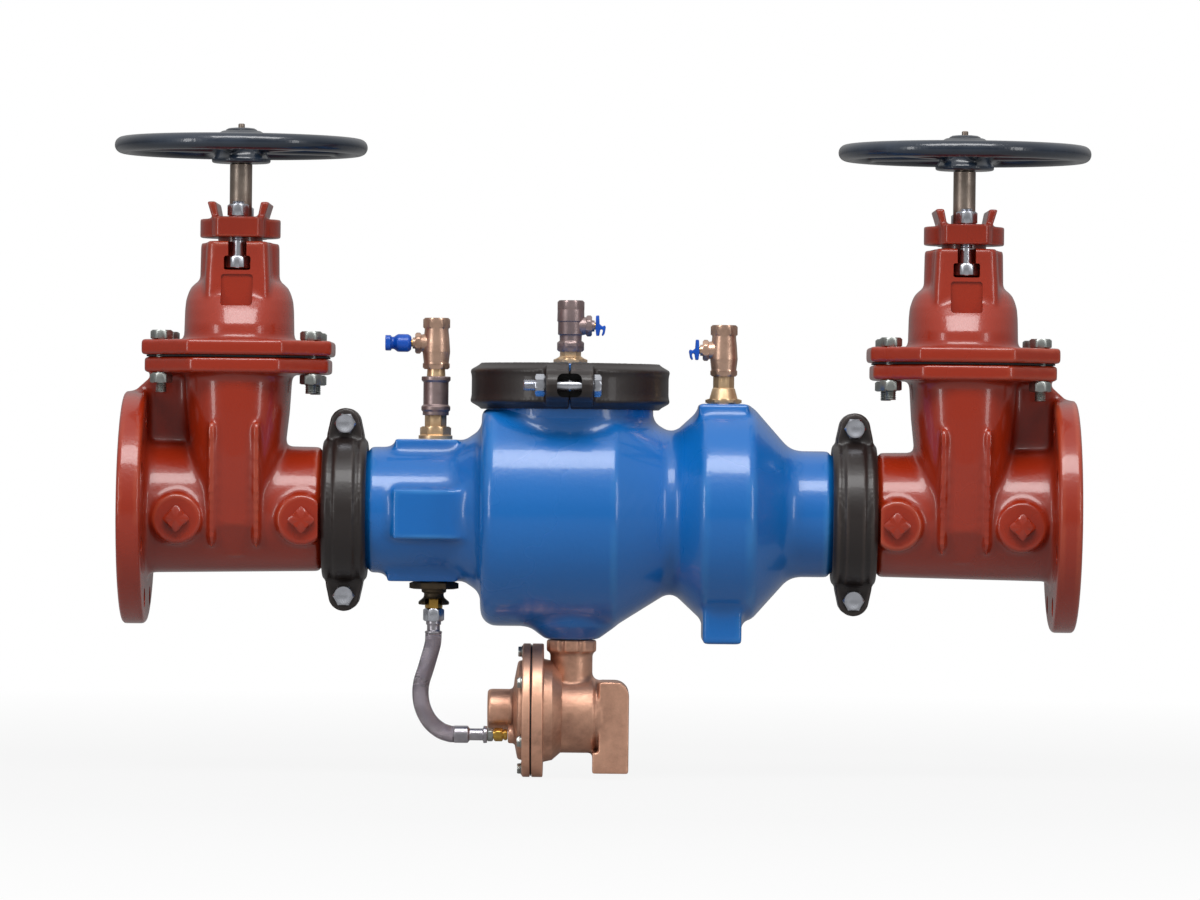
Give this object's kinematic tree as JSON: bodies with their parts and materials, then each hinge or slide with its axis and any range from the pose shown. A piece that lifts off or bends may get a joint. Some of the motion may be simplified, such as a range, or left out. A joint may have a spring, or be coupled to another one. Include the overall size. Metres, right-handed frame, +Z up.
{
  "type": "reduced pressure backflow preventer",
  "caption": "Flanged backflow preventer: blue check valve body with clamped top cover, relief valve below, test cocks on top and a red handwheel gate valve at each end.",
  "frame": {"origin": "centre of the inlet flange's face, on the pipe's axis", "axes": "+X along the flow to the outlet flange, +Z up towards the handwheels, -Y towards the side that the picture shows"},
  "size_m": [0.961, 0.2538, 0.6399],
  "materials": {
    "blue_epoxy": "glossy blue epoxy over a rough casting",
    "red_enamel": "glossy red enamel over a rough casting",
    "black_enamel": "satin black enamel",
    "wheel_enamel": "glossy black enamel",
    "coated_iron": "iron inside a moulded rubber coat",
    "rubber": "matte black rubber",
    "cast_bronze": "cast bronze, bead blasted",
    "brass": "machined brass",
    "stem_bronze": "turned bronze",
    "zinc_plate": "zinc plated steel",
    "steel_braid": "stainless wire braid",
    "blue_vinyl": "blue vinyl"
  },
  "bodies": {
    "assembly": {"main_body": "blue_epoxy", "access_cover": "blue_epoxy", "cover_gasket": "rubber", "cover_clamp_left_half": "black_enamel", "cover_clamp_right_half": "black_enamel", "cover_clamp_front_bolt": "zinc_plate", "cover_clamp_rear_bolt": "zinc_plate", "first_check_frame": "cast_bronze", "first_check_spring": "zinc_plate", "second_check_frame": "cast_bronze", "second_check_spring": "zinc_plate", "inlet_valve_body": "red_enamel", "inlet_bonnet_gasket": "rubber", "inlet_bonnet": "red_enamel", "inlet_packing": "rubber", "inlet_gland": "red_enamel", "inlet_gland_bolt_front": "zinc_plate", "inlet_gland_bolt_rear": "zinc_plate", "outlet_valve_body": "red_enamel", "outlet_bonnet_gasket": "rubber", "outlet_bonnet": "red_enamel", "outlet_packing": "rubber", "outlet_gland": "red_enamel", "outlet_gland_bolt_front": "zinc_plate", "outlet_gland_bolt_rear": "zinc_plate", "inlet_coupling_front_half": "black_enamel", "inlet_coupling_rear_half": "black_enamel", "inlet_coupling_gasket": "rubber", "inlet_coupling_upper_bolt": "zinc_plate", "inlet_coupling_lower_bolt": "zinc_plate", "outlet_coupling_front_half": "black_enamel", "outlet_coupling_rear_half": "black_enamel", "outlet_coupling_gasket": "rubber", "outlet_coupling_upper_bolt": "zinc_plate", "outlet_coupling_lower_bolt": "zinc_plate", "relief_body": "cast_bronze", "relief_cover": "cast_bronze", "relief_diaphragm": "rubber", "relief_spring": "zinc_plate", "hose_inlet_adapter": "brass", "hose_relief_fitting": "brass", "sensing_hose": "steel_braid", "inlet_cock_riser": "cast_bronze", "inlet_cock_body": "cast_bronze", "cover_cock_body": "cast_bronze", "outlet_cock_body": "cast_bronze"},
    "inlet_wheel": {"inlet_handwheel": "wheel_enamel", "inlet_stem": "stem_bronze"},
    "inlet_gate": {"inlet_wedge": "coated_iron", "inlet_stem_nut": "stem_bronze"},
    "outlet_wheel": {"outlet_handwheel": "wheel_enamel", "outlet_stem": "stem_bronze"},
    "outlet_gate": {"outlet_wedge": "coated_iron", "outlet_stem_nut": "stem_bronze"},
    "first_poppet": {"first_check_poppet": "cast_bronze"},
    "second_poppet": {"second_check_poppet": "cast_bronze"},
    "relief_disc": {"relief_plunger": "cast_bronze"},
    "inlet_cock_lever": {"inlet_cock_handle": "blue_vinyl"},
    "cover_cock_lever": {"cover_cock_handle": "blue_vinyl"},
    "outlet_cock_lever": {"outlet_cock_handle": "blue_vinyl"}
  },
  "joints": [
    {"name": "inlet_wheel_turn", "type": "hinge", "parent": "assembly", "child": "inlet_wheel", "pos_m": [0.112, 0, 0.356], "axis": [0, 0, 1], "range_deg": [-4860, 0]},
    {"name": "inlet_gate_travel", "type": "slide", "parent": "assembly", "child": "inlet_gate", "axis": [0, 0, 1], "range_m": [-0.108, 0]},
    {"name": "outlet_wheel_turn", "type": "hinge", "parent": "assembly", "child": "outlet_wheel", "pos_m": [0.824, 0, 0.356], "axis": [0, 0, 1], "range_deg": [-4860, 0]},
    {"name": "outlet_gate_travel", "type": "slide", "parent": "assembly", "child": "outlet_gate", "axis": [0, 0, 1], "range_m": [-0.108, 0]},
    {"name": "first_check_travel", "type": "slide", "parent": "assembly", "child": "first_poppet", "axis": [1, 0, 0], "range_m": [0, 0.025], "stiffness_N_per_m": 2000, "springref_m": -0.05, "deforming": ["first_check_spring"]},
    {"name": "second_check_travel", "type": "slide", "parent": "assembly", "child": "second_poppet", "axis": [1, 0, 0], "range_m": [0, 0.025], "stiffness_N_per_m": 1200, "springref_m": -0.04, "deforming": ["second_check_spring"]},
    {"name": "relief_disc_travel", "type": "slide", "parent": "assembly", "child": "relief_disc", "axis": [1, 0, 0], "range_m": [0, 0.0077], "stiffness_N_per_m": 3000, "springref_m": -0.015, "deforming": ["relief_spring", "relief_diaphragm"]},
    {"name": "inlet_cock_turn", "type": "hinge", "parent": "assembly", "child": "inlet_cock_lever", "pos_m": [0.306, 0, 0.1643], "axis": [1, 0, 0], "range_deg": [0, 90]},
    {"name": "cover_cock_turn", "type": "hinge", "parent": "assembly", "child": "cover_cock_lever", "pos_m": [0.438, 0, 0.1829], "axis": [1, 0, 0], "range_deg": [0, 90]},
    {"name": "outlet_cock_turn", "type": "hinge", "parent": "assembly", "child": "outlet_cock_lever", "pos_m": [0.589, 0, 0.1601], "axis": [1, 0, 0], "range_deg": [0, 90]}
  ],
  "couplings": [
    {"joint": "inlet_gate_travel", "follows": "inlet_wheel_turn", "m_per_rad": 0.001273},
    {"joint": "outlet_gate_travel", "follows": "outlet_wheel_turn", "m_per_rad": 0.001273}
  ]
}
